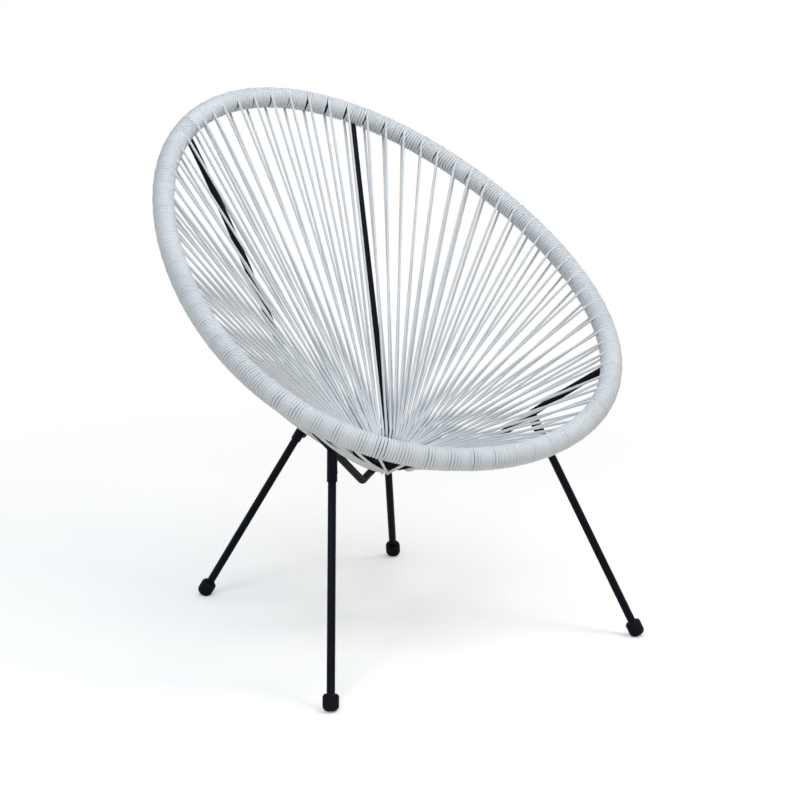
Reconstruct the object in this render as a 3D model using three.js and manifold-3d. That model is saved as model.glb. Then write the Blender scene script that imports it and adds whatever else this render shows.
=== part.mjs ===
// Acapulco chair: an egg-shaped steel hoop wound with round cord and strung to a small hub ring,
// carried by four bent ribs with plug-in splayed legs.
// Millimetres, +Z up. The front lip points to -Y, +X is the right of a viewer who stands in front,
// and the origin is on the floor under the middle of the chair.

import * as THREE from 'three';
import { mergeVertices } from 'three/addons/utils/BufferGeometryUtils.js';
import Module from 'manifold-3d';

const wasm = await Module();
wasm.setup();

// Overall size, over the wound hoop
const OVERALL_WIDTH = 720;
const OVERALL_DEPTH = 790;
const OVERALL_HEIGHT = 830;

// Clearances
const FIT_GAP = 0.3; // between two pieces that touch
const CORD_GAP = 0.3; // between the two layers of loops on the hub
const CUT_OVERRUN = 4; // how far a cutter runs past what it cuts

// Cord: round PVC, wound round the hoop and looped round the hub
const CORD_DIAMETER = 4.2;
const LOOP_COUNT = 72;
const GROOVE_DEPTH = 1.3; // of the groove halfway between two loops
const LIP_LOOPS = 2; // on each side of the middle one, in the stretch of cord at the lip
const SIDE_STRETCHES = 5; // of cord, between the lip's and the crown's
const STRETCH_LOOPS = 6; // in each of these

// Hoop: one bent and butt-welded round tube in a tilted plane
const HOOP_TUBE_DIAMETER = 25.4;
const HOOP_TILT = THREE.MathUtils.degToRad(30.8);
const EGG_SHARE = 0.142; // moves the widest place towards the lip
const SHOULDER_SHARE = 0.024; // draws the lip and the crown a little rounder

// Hub ring: a small tilted ring below the bowl that takes every loop
const HUB_RADIUS = 50;
const HUB_TUBE_DIAMETER = 16;
const HUB_BACK = -30;
const HUB_HEIGHT = 290.5;
const HUB_TILT = THREE.MathUtils.degToRad(17);
const HUB_RIB_WIDTH = 13.7; // added between two loops, along the hub's middle circle, for a rib

// Ribs: bent rods from the hoop to the hub's underside
const RIB_DIAMETER = 12;
const RIB_BEND_RADIUS = 16;
const RIB_HOOP_DROP = 2; // how far below the hoop's middle line a rib starts
const RIB_HUB_DROP = 4; // how far below the hub's middle line a rib ends

const FRONT_RIB_STATION = 9.5; // in loops from the lip, so a rib lies between two loops
const FRONT_ARM_SHARE = 0.61; // of the way between the same two loops, at the hub
const FRONT_SEAT_SIDE = 187; // where the leg socket is welded on
const FRONT_SEAT_BACK = -168;
const FRONT_SEAT_DROP = 20; // below the bowl of loops
const FRONT_BEND_SIDE = 92; // where the rib turns in towards the hub
const FRONT_BEND_BACK = -102;
const FRONT_BEND_BELOW_HUB = 20;
const FRONT_BOW_LENGTH = 60; // of the lead from the socket into the curve above it

const REAR_RIB_STATION = 30.7;
const REAR_ARM_SHARE = 0.7;
const REAR_SEAT_SIDE = 72;
const REAR_SEAT_BACK = 89;
const REAR_SEAT_ABOVE_HUB = 40.5;
const REAR_BEND_SIDE = 66.5;
const REAR_BEND_BACK = 75;
const REAR_BEND_BELOW_HUB = -8;
const REAR_BOW_LENGTH = 415;

// Legs: round tubes that plug into sockets under the ribs
const LEG_DIAMETER = 12.7;
const LEG_WALL = 1.2;
const FRONT_FOOT_TRACK = 583; // between the two legs' middle lines at the floor
const FRONT_FOOT_BACK = -325.5;
const REAR_FOOT_TRACK = 385;
const REAR_FOOT_BACK = 250.5;

// Leg sockets and their locking screws
const SOCKET_LENGTH = 50;
const SOCKET_WALL = 1.4;
const SOCKET_GRIP = 32; // how far the leg goes up into the socket
const SCREW_UP = 16; // from the socket's mouth to the screw
const SCREW_DIAMETER = 6;
const SCREW_LENGTH = 9;
const SCREW_HEAD_DIAMETER = 10.5;
const SCREW_HEAD_HEIGHT = 3.3;
const SCREW_KEY_WIDTH = 4;
const SCREW_KEY_DEPTH = 2;

// Foot caps: pushed over the legs' ends
const CAP_DIAMETER = 25;
const CAP_HEIGHT = 26;
const CAP_SHOULDER = 7;
const CAP_MOUTH_DIAMETER = 18;
const CAP_ROUNDING = 6;
const CAP_FLOOR = 6; // material below the leg's end
const CAP_FLAT_DEPTH = 1.3; // worn off the rounded edge that stands on the floor

// Facets
const CORD_SIDES = 5;
const WINDING_SIDES = 8;
const TUBE_SIDES = 12;
const ROD_SIDES = 10;
const CAP_SIDES = 18;
const CAP_STEPS = 3; // round the sole's edge
const CURVE_STEPS = 8;
const BEND_STEPS = 4;
const HUB_CORNERS = 3; // of a loop round the hub
const SAMPLES = 720;

// Derived sizes
const cordRadius = CORD_DIAMETER / 2;
const hoopTubeRadius = HOOP_TUBE_DIAMETER / 2;
const windingBore = (hoopTubeRadius + FIT_GAP) / Math.cos(Math.PI / WINDING_SIDES);
const windingRadius = hoopTubeRadius + FIT_GAP + CORD_DIAMETER;
const turnRadius = windingRadius - cordRadius;
const hoopHalfWidth = OVERALL_WIDTH / 2 - windingRadius;
const hoopRun = OVERALL_DEPTH - 2 * windingRadius;
const hoopLength = hoopRun / Math.cos(HOOP_TILT);
const hoopRise = hoopRun * Math.tan(HOOP_TILT);
const lipHeight = OVERALL_HEIGHT - windingRadius - hoopRise;
const hubTubeRadius = HUB_TUBE_DIAMETER / 2;
const ribRadius = RIB_DIAMETER / 2;
const legRadius = LEG_DIAMETER / 2;
const socketBore = legRadius + FIT_GAP;
const socketRadius = socketBore + SOCKET_WALL;

const UP = new THREE.Vector3(0, 0, 1);
const hoopUp = new THREE.Vector3(0, -Math.sin(HOOP_TILT), Math.cos(HOOP_TILT));
const hubUp = new THREE.Vector3(0, -Math.sin(HUB_TILT), Math.cos(HUB_TILT));
const hubBackward = new THREE.Vector3(0, Math.cos(HUB_TILT), Math.sin(HUB_TILT));
const hubCentre = new THREE.Vector3(0, HUB_BACK, HUB_HEIGHT);

// Materials, as on the real chair: powder-coated steel, PVC cord, moulded caps, zinc-plated screws
const powderCoat = { color: 0x17181c, roughness: 0.45, metalness: 0.3 };
const whiteCord = { color: 0xe4e9ef, roughness: 0.5, metalness: 0 };
const capPlastic = { color: 0x141518, roughness: 0.6, metalness: 0 };
const blackZinc = { color: 0x24252a, roughness: 0.35, metalness: 0.9 };

const chair = new THREE.Group();

function addMesh(name, geometry, finish) {
  geometry.computeVertexNormals();
  const mesh = new THREE.Mesh(geometry, new THREE.MeshStandardMaterial(finish));
  mesh.name = name;
  chair.add(mesh);
}

// Turns every face over where the closed surface encloses a negative volume.
function facingOut(geometry) {
  const place = geometry.getAttribute('position');
  const index = geometry.getIndex();
  const [a, b, c] = [new THREE.Vector3(), new THREE.Vector3(), new THREE.Vector3()];
  let volume = 0;
  for (let i = 0; i < index.count; i += 3) {
    a.fromBufferAttribute(place, index.getX(i));
    b.fromBufferAttribute(place, index.getX(i + 1));
    c.fromBufferAttribute(place, index.getX(i + 2));
    volume += a.dot(b.cross(c));
  }
  if (volume < 0) {
    for (let i = 0; i < index.count; i += 3) {
      const first = index.getX(i);
      index.setX(i, index.getX(i + 1));
      index.setX(i + 1, first);
    }
  }
  return geometry;
}

// A closed surface that grows from rows of corners. A row is a list of corner numbers round a tube.
class Surface {
  points = [];

  faces = [];

  addRow(corners) {
    const start = this.points.length;
    this.points.push(...corners);
    return corners.map((_, k) => start + k);
  }

  // Joins two rows with equally many corners, apart from the places in openings.
  addWall(first, second, openings = []) {
    first.forEach((corner, k) => {
      if (openings.includes(k)) return;
      const next = (k + 1) % first.length;
      this.faces.push(corner, first[next], second[next], corner, second[next], second[k]);
    });
  }

  // Joins two rows with different numbers of corners, evenly all the way round.
  addBridge(first, second) {
    const at = (row, i) => row[i % row.length];
    const partner = (i, shift) => at(second, Math.round((i * second.length) / first.length) + shift);
    const apart = (shift) => first.reduce((sum, corner, i) => (
      sum + this.points[corner].distanceTo(this.points[partner(i, shift)])
    ), 0);
    const shifts = [...second.keys()];
    const shift = shifts.reduce((best, other) => (apart(other) < apart(best) ? other : best));
    let i = 0;
    let j = 0;
    while (i < first.length || j < second.length) {
      const [here, there] = [at(first, i), at(second, j + shift)];
      if ((i + 1) / first.length <= (j + 1) / second.length) {
        i += 1;
        this.faces.push(here, at(first, i), there);
      } else {
        j += 1;
        this.faces.push(here, at(second, j + shift), there);
      }
    }
  }

  addCap(row) {
    for (let k = 1; k < row.length - 1; k += 1) this.faces.push(row[0], row[k + 1], row[k]);
  }

  geometry() {
    const geometry = new THREE.BufferGeometry();
    const places = this.points.flatMap((point) => point.toArray());
    geometry.setAttribute('position', new THREE.Float32BufferAttribute(places, 3));
    geometry.setIndex(this.faces);
    return facingOut(geometry);
  }
}

// A solid through a row of rings: capped at both ends, or joined up end to end.
function loft(rings, endless = false) {
  const surface = new Surface();
  const rows = rings.map((ring) => surface.addRow(ring));
  rows.slice(1).forEach((row, i) => surface.addWall(rows[i], row));
  const last = rows[rows.length - 1];
  if (endless) {
    surface.addWall(last, rows[0]);
  } else {
    surface.addCap(rows[0]);
    surface.addCap([...last].reverse());
  }
  return surface.geometry();
}

function ringOf(centre, first, second, radius, sides) {
  return Array.from({ length: sides }, (_, k) => {
    const angle = (2 * Math.PI * k) / sides;
    return centre.clone()
      .addScaledVector(first, radius * Math.cos(angle))
      .addScaledVector(second, radius * Math.sin(angle));
  });
}

// Rings of a round rod along a row of points, mitred at each of them.
function rodRings(points, radius, sides) {
  const runs = points.slice(1).map((p, i) => p.clone().sub(points[i]).normalize());
  const first = new THREE.Vector3().crossVectors(runs[0], UP).normalize();
  const second = new THREE.Vector3().crossVectors(runs[0], first);
  const rings = [ringOf(points[0], first, second, radius, sides)];
  for (let i = 1; i < points.length; i += 1) {
    const run = runs[i - 1];
    const facing = run.clone().add(runs[i] ?? run).normalize();
    rings.push(rings[i - 1].map((p) => {
      const reach = points[i].clone().sub(p).dot(facing) / run.dot(facing);
      return p.clone().addScaledVector(run, reach);
    }));
  }
  return rings;
}

const rod = (points, radius, sides) => loft(rodRings(points, radius, sides));

function toSolid(geometry) {
  const bare = geometry.clone();
  bare.deleteAttribute('normal');
  bare.deleteAttribute('uv');
  const merged = mergeVertices(bare);
  return new wasm.Manifold(new wasm.Mesh({
    numProp: 3,
    vertProperties: new Float32Array(merged.getAttribute('position').array),
    triVerts: new Uint32Array(merged.getIndex().array),
  }));
}

function toGeometry(solid) {
  const { vertProperties, triVerts } = solid.getMesh();
  const geometry = new THREE.BufferGeometry();
  geometry.setAttribute('position', new THREE.BufferAttribute(vertProperties, 3));
  geometry.setIndex(new THREE.BufferAttribute(triVerts, 1));
  return geometry;
}

function cut(geometry, ...cutters) {
  return toGeometry(cutters.reduce((solid, cutter) => solid.subtract(toSolid(cutter)), toSolid(geometry)));
}

// The same solid on the other side of the chair's middle plane.
function mirrored(geometry) {
  const copy = mergeVertices(geometry.clone());
  copy.scale(-1, 1, 1);
  return facingOut(copy);
}

function addPair(name, geometry, finish) {
  addMesh(`${name}_left`, mirrored(geometry), finish);
  addMesh(`${name}_right`, geometry, finish);
}

// Hoop

const eggShape = (turn) => (
  Math.sin(turn) * (1 + EGG_SHARE * Math.cos(turn) + SHOULDER_SHARE * Math.cos(2 * turn))
);
const widestShare = Math.max(...Array.from({ length: SAMPLES }, (_, i) => eggShape((Math.PI * i) / SAMPLES)));

class HoopCurve extends THREE.Curve {
  getPoint(t, target = new THREE.Vector3()) {
    const turn = 2 * Math.PI * t;
    const along = (hoopLength / 2) * (1 - Math.cos(turn));
    return target.set(
      (hoopHalfWidth * eggShape(turn)) / widestShare,
      along * Math.cos(HOOP_TILT) - hoopRun / 2,
      along * Math.sin(HOOP_TILT) + lipHeight,
    );
  }
}

const hoop = new HoopCurve();
hoop.arcLengthDivisions = SAMPLES;

// A place on the hoop, counted in loops from the middle of the lip towards the right.
function hoopPlace(station) {
  const share = THREE.MathUtils.euclideanModulo(station / LOOP_COUNT, 1);
  const centre = hoop.getPointAt(share);
  const along = hoop.getTangentAt(share);
  const inward = new THREE.Vector3().crossVectors(hoopUp, along);
  return { centre, along, inward };
}

function hoopRing(station, radius, sides) {
  const { centre, inward } = hoopPlace(station);
  return ringOf(centre, inward, hoopUp, radius, sides);
}

function hoopTube(radius) {
  const rings = Array.from({ length: LOOP_COUNT }, (_, i) => hoopRing(i + 0.5, radius, TUBE_SIDES));
  return loft(rings, true);
}

// Hub ring

function hubPlace(angle) {
  const outward = new THREE.Vector3(1, 0, 0).multiplyScalar(Math.sin(angle))
    .addScaledVector(hubBackward, -Math.cos(angle));
  const centre = hubCentre.clone().addScaledVector(outward, HUB_RADIUS);
  const along = new THREE.Vector3().crossVectors(hubUp, outward);
  return { centre, along };
}

function hubRing(tubeRadius) {
  const ring = new THREE.TorusGeometry(HUB_RADIUS, tubeRadius, ROD_SIDES, LOOP_COUNT / 2);
  ring.rotateX(HUB_TILT);
  ring.translate(0, HUB_BACK, HUB_HEIGHT);
  return ring;
}

const ribStations = [FRONT_RIB_STATION, REAR_RIB_STATION]
  .flatMap((station) => [station, LOOP_COUNT - station]);

// Angle on the hub of a station on the hoop: the loops are evenly spaced and each rib takes extra room.
function hubAngle(station) {
  const ribAngle = HUB_RIB_WIDTH / HUB_RADIUS;
  const pitch = (2 * Math.PI - ribStations.length * ribAngle) / LOOP_COUNT;
  const passed = ribStations.filter((rib) => rib < station).length;
  return station * pitch + passed * ribAngle;
}

// Ribs

// Where a rib's arm meets the hub, between two loops.
function ribHubPlace(station, armShare) {
  const [before, after] = [Math.floor(station), Math.ceil(station)].map(hubAngle);
  return hubPlace(THREE.MathUtils.lerp(before, after, armShare)).centre;
}

// Where a front leg socket is welded on: close below the straight line from the hoop to the hub,
// which the loops on either side of the rib follow.
function seatPlace({ station, armShare, side, back, drop }) {
  const start = hoopPlace(station).centre;
  const line = ribHubPlace(station, armShare).sub(start);
  const plan = new THREE.Vector2(line.x, line.y);
  const reach = new THREE.Vector2(side - start.x, back - start.y).dot(plan) / plan.lengthSq();
  return new THREE.Vector3(side, back, start.z + reach * line.z - drop);
}

// Middle line of a rib: a curve from the hoop to the socket's seat, a straight run, a round bend
// and a straight arm to the hub's underside.
function ribLine({ station, armShare, seat, bend, bow }) {
  const start = hoopPlace(station).centre.addScaledVector(hoopUp, -RIB_HOOP_DROP);
  const hub = ribHubPlace(station, armShare).addScaledVector(hubUp, -RIB_HUB_DROP);
  const intoBend = bend.clone().sub(seat).normalize();
  const outOfBend = hub.clone().sub(bend).normalize();
  const bowPoint = seat.clone().addScaledVector(intoBend, -bow);
  const upper = new THREE.QuadraticBezierCurve3(start, bowPoint, seat).getPoints(CURVE_STEPS);
  const setback = RIB_BEND_RADIUS * Math.tan(intoBend.angleTo(outOfBend) / 2);
  const bendStart = bend.clone().addScaledVector(intoBend, -setback);
  const bendEnd = bend.clone().addScaledVector(outOfBend, setback);
  const round = new THREE.QuadraticBezierCurve3(bendStart, bend, bendEnd).getPoints(BEND_STEPS);
  return [...upper, ...round, hub];
}

const ribs = {
  front: {
    station: FRONT_RIB_STATION,
    armShare: FRONT_ARM_SHARE,
    seat: seatPlace({
      station: FRONT_RIB_STATION,
      armShare: FRONT_ARM_SHARE,
      side: FRONT_SEAT_SIDE,
      back: FRONT_SEAT_BACK,
      drop: FRONT_SEAT_DROP,
    }),
    bend: new THREE.Vector3(FRONT_BEND_SIDE, FRONT_BEND_BACK, HUB_HEIGHT - FRONT_BEND_BELOW_HUB),
    bow: FRONT_BOW_LENGTH,
    foot: new THREE.Vector3(FRONT_FOOT_TRACK / 2, FRONT_FOOT_BACK, 0),
  },
  rear: {
    station: REAR_RIB_STATION,
    armShare: REAR_ARM_SHARE,
    seat: new THREE.Vector3(REAR_SEAT_SIDE, REAR_SEAT_BACK, HUB_HEIGHT + REAR_SEAT_ABOVE_HUB),
    bend: new THREE.Vector3(REAR_BEND_SIDE, REAR_BEND_BACK, HUB_HEIGHT - REAR_BEND_BELOW_HUB),
    bow: REAR_BOW_LENGTH,
    foot: new THREE.Vector3(REAR_FOOT_TRACK / 2, REAR_FOOT_BACK, 0),
  },
};

const ribRod = (rib, radius) => rod(ribLine(rib), radius, ROD_SIDES);

// Legs, in a frame whose Z runs up the leg's middle line from the floor and whose X faces inwards

function legFrame({ seat, foot }) {
  const along = seat.clone().sub(foot).normalize();
  const inward = new THREE.Vector3(-seat.x, HUB_BACK - seat.y, 0);
  inward.addScaledVector(along, -inward.dot(along)).normalize();
  const across = new THREE.Vector3().crossVectors(along, inward);
  const frame = new THREE.Matrix4().makeBasis(inward, across, along).setPosition(foot);
  return { frame, slope: along.angleTo(UP), length: seat.distanceTo(foot) };
}

function revolved(profile, sides) {
  const outline = profile.map(([r, z]) => new THREE.Vector2(r, z));
  return new THREE.LatheGeometry(outline, sides).rotateX(Math.PI / 2);
}

function pipe(outer, bore, low, high) {
  const profile = [[bore, low], [outer, low], [outer, high], [bore, high], [bore, low]];
  return revolved(profile, TUBE_SIDES);
}

// A cross hole that runs in from +X, at a height above the frame's origin.
function crossHole(height) {
  const reach = socketRadius + CUT_OVERRUN;
  const radius = SCREW_DIAMETER / 2 + FIT_GAP;
  const hole = new THREE.CylinderGeometry(radius, radius, reach, TUBE_SIDES);
  return hole.rotateZ(Math.PI / 2).translate(reach / 2, 0, height);
}

function lockingScrew(height) {
  const shank = SCREW_DIAMETER / 2;
  const head = SCREW_HEAD_DIAMETER / 2;
  const seat = socketRadius + FIT_GAP;
  const rim = seat + SCREW_HEAD_HEIGHT;
  const profile = [
    [0, seat - SCREW_LENGTH], [shank, seat - SCREW_LENGTH], [shank, seat], [head, seat],
    [head, seat + SCREW_HEAD_HEIGHT / 3], [(head + SCREW_KEY_WIDTH) / 2, rim], [0, rim],
  ];
  const keyRadius = SCREW_KEY_WIDTH / Math.sqrt(3);
  const key = new THREE.CylinderGeometry(keyRadius, keyRadius, 2 * SCREW_KEY_DEPTH, 6);
  key.rotateX(Math.PI / 2).translate(0, 0, rim);
  return cut(revolved(profile, TUBE_SIDES), key).rotateY(Math.PI / 2).translate(0, 0, height);
}

// Section of a foot cap: rounded sole, straight side, tapered shoulder and a blind bore for the leg.
function capProfile() {
  const radius = CAP_DIAMETER / 2;
  const sole = Array.from({ length: CAP_STEPS + 1 }, (_, i) => {
    const angle = (Math.PI / 2) * (i / CAP_STEPS);
    return [
      radius - CAP_ROUNDING + CAP_ROUNDING * Math.sin(angle),
      CAP_ROUNDING - CAP_ROUNDING * Math.cos(angle),
    ];
  });
  return [
    [0, 0], ...sole, [radius, CAP_HEIGHT - CAP_SHOULDER], [CAP_MOUTH_DIAMETER / 2, CAP_HEIGHT],
    [socketBore, CAP_HEIGHT], [socketBore, CAP_FLOOR], [0, CAP_FLOOR],
  ];
}

function floorCutter() {
  const depth = CAP_DIAMETER;
  return new THREE.BoxGeometry(OVERALL_WIDTH, OVERALL_DEPTH, depth).translate(0, 0, -depth / 2);
}

function addLeg(end, rib) {
  const { frame, slope, length } = legFrame(rib);
  const lowest = Math.min(...capProfile().map(([r, z]) => z * Math.cos(slope) - r * Math.sin(slope)));
  const capBase = (-lowest - CAP_FLAT_DEPTH) / Math.cos(slope);
  const mouth = length - SOCKET_LENGTH;
  const screwHeight = mouth + SCREW_UP;
  const legFoot = capBase + CAP_FLOOR + FIT_GAP;

  const ribCutter = ribRod(rib, ribRadius + FIT_GAP).applyMatrix4(frame.clone().invert());
  const socket = cut(pipe(socketRadius, socketBore, mouth, length), crossHole(screwHeight), ribCutter);
  addPair(`leg_socket_${end}`, socket.applyMatrix4(frame), powderCoat);

  const tube = pipe(legRadius, legRadius - LEG_WALL, legFoot, mouth + SOCKET_GRIP);
  addPair(`leg_${end}`, cut(tube, crossHole(screwHeight)).applyMatrix4(frame), powderCoat);

  addPair(`leg_screw_${end}`, lockingScrew(screwHeight).applyMatrix4(frame), blackZinc);

  const cap = revolved(capProfile(), CAP_SIDES).translate(0, 0, capBase).applyMatrix4(frame);
  addPair(`foot_cap_${end}`, cut(cap, floorCutter()), capPlastic);
}

// Cord

// Section of the winding at a station: its first axis points to the hub, its second one up.
function windingRing(station, radius) {
  const { centre, along } = hoopPlace(station);
  const toHub = hubCentre.clone().sub(centre);
  toHub.addScaledVector(along, -toHub.dot(along)).normalize();
  const above = new THREE.Vector3().crossVectors(along, toHub);
  return ringOf(centre, toHub, above, radius, WINDING_SIDES);
}

// Corners of one loop: off the top of the winding to the hub, round the hub's inner side and back
// to the underside of the winding. Every second loop lies over its neighbours at the hub.
function loopLine(loop) {
  const { centre, along } = hoopPlace(loop);
  const hub = hubPlace(hubAngle(loop));
  const layer = hubTubeRadius + FIT_GAP + cordRadius + (loop % 2 === 0 ? 0 : CORD_DIAMETER + CORD_GAP);
  const run = hub.centre.clone().sub(centre).normalize();
  const above = new THREE.Vector3().crossVectors(along, run).normalize();
  const inside = run.clone().addScaledVector(hub.along, -run.dot(hub.along)).normalize();
  const hubAbove = new THREE.Vector3().crossVectors(hub.along, inside);
  const reach = (windingRadius * Math.SQRT1_2 + cordRadius) / Math.sqrt(1 - along.dot(run) ** 2);
  const root = (side) => centre.clone().addScaledVector(above, side * turnRadius).addScaledVector(run, reach);
  const corner = (turn) => {
    const angle = (turn * Math.PI) / HUB_CORNERS;
    return hub.centre.clone()
      .addScaledVector(inside, (layer * Math.cos(angle)) / Math.cos(Math.PI / 2 / HUB_CORNERS))
      .addScaledVector(hubAbove, (layer * Math.sin(angle)) / Math.cos(Math.PI / 2 / HUB_CORNERS));
  };
  const turns = Array.from({ length: HUB_CORNERS }, (_, i) => (HUB_CORNERS - 1) / 2 - i);
  return [root(1), ...turns.map(corner), root(-1)];
}

// One stretch of cord: its turns round the hoop with a groove between every two loops, and the
// loops, each of which grows out of a turn of its own.
function cordStretch(firstLoop, lastLoop) {
  const surface = new Surface();
  const loopPitch = hoop.getLength() / LOOP_COUNT;
  const halfTurn = cordRadius / loopPitch;
  const endGap = FIT_GAP / 2 / loopPitch;
  const grooveRow = (station) => {
    const held = THREE.MathUtils.clamp(station, firstLoop - 0.5 + endGap, lastLoop + 0.5 - endGap);
    return {
      outer: surface.addRow(windingRing(held, windingRadius - GROOVE_DEPTH)),
      bore: surface.addRow(windingRing(held, windingBore)),
    };
  };
  const start = grooveRow(firstLoop - 0.5);
  let before = start;
  for (let loop = firstLoop; loop <= lastLoop; loop += 1) {
    const [rise, fall] = [loop - halfTurn, loop + halfTurn]
      .map((station) => surface.addRow(windingRing(station, windingRadius)));
    const after = grooveRow(loop + 0.5);
    const [top, bottom] = [WINDING_SIDES / 8, (WINDING_SIDES * 3) / 4];
    const opening = (k) => [rise[k], rise[k + 1], fall[k + 1], fall[k]];
    surface.addWall(before.outer, rise);
    surface.addWall(rise, fall, [top, bottom]);
    surface.addWall(fall, after.outer);
    surface.addWall(after.bore, before.bore);

    const rows = rodRings(loopLine(loop), cordRadius, CORD_SIDES).map((ring) => surface.addRow(ring));
    surface.addBridge(opening(top), rows[0]);
    rows.slice(1).forEach((row, i) => surface.addWall(rows[i], row));
    surface.addBridge(rows[rows.length - 1], opening(bottom).reverse());
    before = after;
  }
  surface.addWall(start.bore, start.outer);
  surface.addWall(before.outer, before.bore);
  return surface.geometry();
}

// Stretches of cord on each side, in loops from the middle of the lip
const stretches = Array.from({ length: SIDE_STRETCHES }, (_, i) => {
  const from = LIP_LOOPS + 1 + i * STRETCH_LOOPS;
  return { name: `${i + 1}`, from, to: from + STRETCH_LOOPS - 1 };
});
const crownStart = LIP_LOOPS + 1 + SIDE_STRETCHES * STRETCH_LOOPS;

// Least room between two loops that lie next to each other, or next but one, near the hub.
function leastLoopGap() {
  const line = (loop) => {
    const corners = loopLine(loop);
    const places = corners.slice(1).flatMap((end, i) => (
      Array.from({ length: SAMPLES }, (_, k) => corners[i].clone().lerp(end, k / SAMPLES))
    ));
    return places.filter((place) => place.distanceTo(hubCentre) < 2 * HUB_RADIUS);
  };
  const lines = Array.from({ length: LOOP_COUNT / 2 + 3 }, (_, loop) => line(loop));
  let least = Infinity;
  lines.slice(0, -2).forEach((near, loop) => {
    for (const place of near) {
      for (const other of [...lines[loop + 1], ...lines[loop + 2]]) {
        least = Math.min(least, place.distanceToSquared(other));
      }
    }
  });
  return Math.sqrt(least) - CORD_DIAMETER;
}

// Assembly

addMesh('hoop_tube', hoopTube(hoopTubeRadius), powderCoat);
addMesh('hub_ring', hubRing(hubTubeRadius), powderCoat);

for (const [end, rib] of Object.entries(ribs)) {
  const seats = [hoopTube(hoopTubeRadius + FIT_GAP), hubRing(hubTubeRadius + FIT_GAP)];
  addPair(`rib_${end}`, cut(ribRod(rib, ribRadius), ...seats), powderCoat);
  addLeg(end, rib);
}

addMesh('cord_lip', cordStretch(-LIP_LOOPS, LIP_LOOPS), whiteCord);
addMesh('cord_crown', cordStretch(crownStart, LOOP_COUNT - crownStart), whiteCord);
for (const { name, from, to } of stretches) {
  const ribsHere = Object.values(ribs).filter(({ station }) => station > from && station < to);
  const cutters = ribsHere.map((rib) => ribRod(rib, ribRadius + FIT_GAP));
  const cord = cordStretch(from, to);
  addPair(`cord_${name}`, cutters.length ? cut(cord, ...cutters) : cord, whiteCord);
}

console.log(`least gap between two cord loops: ${leastLoopGap().toFixed(2)} mm`);

export default chair;
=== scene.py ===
import math

import bpy
import numpy as np
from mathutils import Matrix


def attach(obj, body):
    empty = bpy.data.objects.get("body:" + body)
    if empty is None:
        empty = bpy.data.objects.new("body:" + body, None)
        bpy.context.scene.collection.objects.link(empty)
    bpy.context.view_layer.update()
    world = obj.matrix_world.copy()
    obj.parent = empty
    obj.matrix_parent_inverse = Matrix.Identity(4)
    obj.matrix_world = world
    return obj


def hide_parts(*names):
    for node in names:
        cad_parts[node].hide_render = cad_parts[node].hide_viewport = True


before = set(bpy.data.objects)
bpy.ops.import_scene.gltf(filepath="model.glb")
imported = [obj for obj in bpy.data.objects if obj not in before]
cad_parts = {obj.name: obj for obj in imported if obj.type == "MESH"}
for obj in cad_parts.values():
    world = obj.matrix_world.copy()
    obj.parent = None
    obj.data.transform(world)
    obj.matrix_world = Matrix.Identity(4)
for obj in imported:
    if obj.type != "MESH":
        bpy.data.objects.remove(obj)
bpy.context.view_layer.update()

# Acapulco chair: one long PVC cord wound round a steel hoop and strung to a hub ring, on four bent
# ribs with plug-in legs. Metres, in the frame's own axes: the lip points to -Y, +X is the right of
# a viewer who stands in front, and a station counts loops of cord from the middle of the lip.

# Sizes

MM = 0.001

OVERALL_WIDTH = 720 * MM
OVERALL_DEPTH = 790 * MM
OVERALL_HEIGHT = 830 * MM
FIT_GAP = 0.3 * MM  # between two pieces that touch
POLE = 1e-5  # radius of the small face that closes a turned piece

CORD_DIAMETER = 4.2 * MM
LOOP_COUNT = 72
TURNS_PER_LOOP = 8

HOOP_TUBE_DIAMETER = 25.4 * MM
HOOP_TILT = math.radians(30.8)
EGG_SHARE = 0.142  # of the outline's half width, in its first cosine
SHOULDER_SHARE = 0.024  # and in its second

HUB_RADIUS = 50 * MM
HUB_TUBE_DIAMETER = 16 * MM
HUB_CENTRE = np.array([0, -30, 290.5]) * MM
HUB_TILT = math.radians(17)
HUB_RIB_WIDTH = 13.7 * MM  # along the hub, left free of cord where a rib comes in

RIB_DIAMETER = 12 * MM
RIB_BEND_RADIUS = 16 * MM
RIB_HOOP_DROP = 6 * MM  # of a rib's end below the middle of the hoop's tube
RIB_HUB_DROP = 4 * MM  # and below the middle of the hub's

WELD_BEAD_RADIUS = 1.5 * MM
WELD_BEAD_OUT = 0.3 * MM  # of the bead's middle beyond the rib's skin
WELD_BEAD_SUNK = 0.6 * MM  # of the bead's middle in the hub's skin
WELD_RIPPLES = 26
WELD_RIPPLE_SHARE = 0.14  # of the bead's thickness

LEG_DIAMETER = 12.7 * MM
LEG_EDGE = 0.8 * MM  # rounding of the edge
SOCKET_LENGTH = 50 * MM
SOCKET_WALL = 1.4 * MM
SOCKET_GRIP = 32 * MM  # of the leg inside its socket
SOCKET_EDGE = 0.45 * MM

SCREW_UP = 16 * MM  # from the socket's mouth
SCREW_DIAMETER = 6 * MM
SCREW_LENGTH = 9 * MM
SCREW_HEAD_DIAMETER = 10.5 * MM
SCREW_HEAD_HEIGHT = 3.3 * MM
SCREW_HEAD_DROP = 0.5 * MM  # from the crown to the shoulder of the head
SCREW_SHOULDER_SHARE = 0.86  # of the head's width
SCREW_CROWN_SHARE = 0.66
SCREW_KEY_WIDTH = 4 * MM
SCREW_KEY_DEPTH = 2 * MM
SCREW_KEY_MARGIN = 1.01  # of half the key's width, within which the hole is six-sided
SCREW_EDGE = 0.15 * MM

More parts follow.
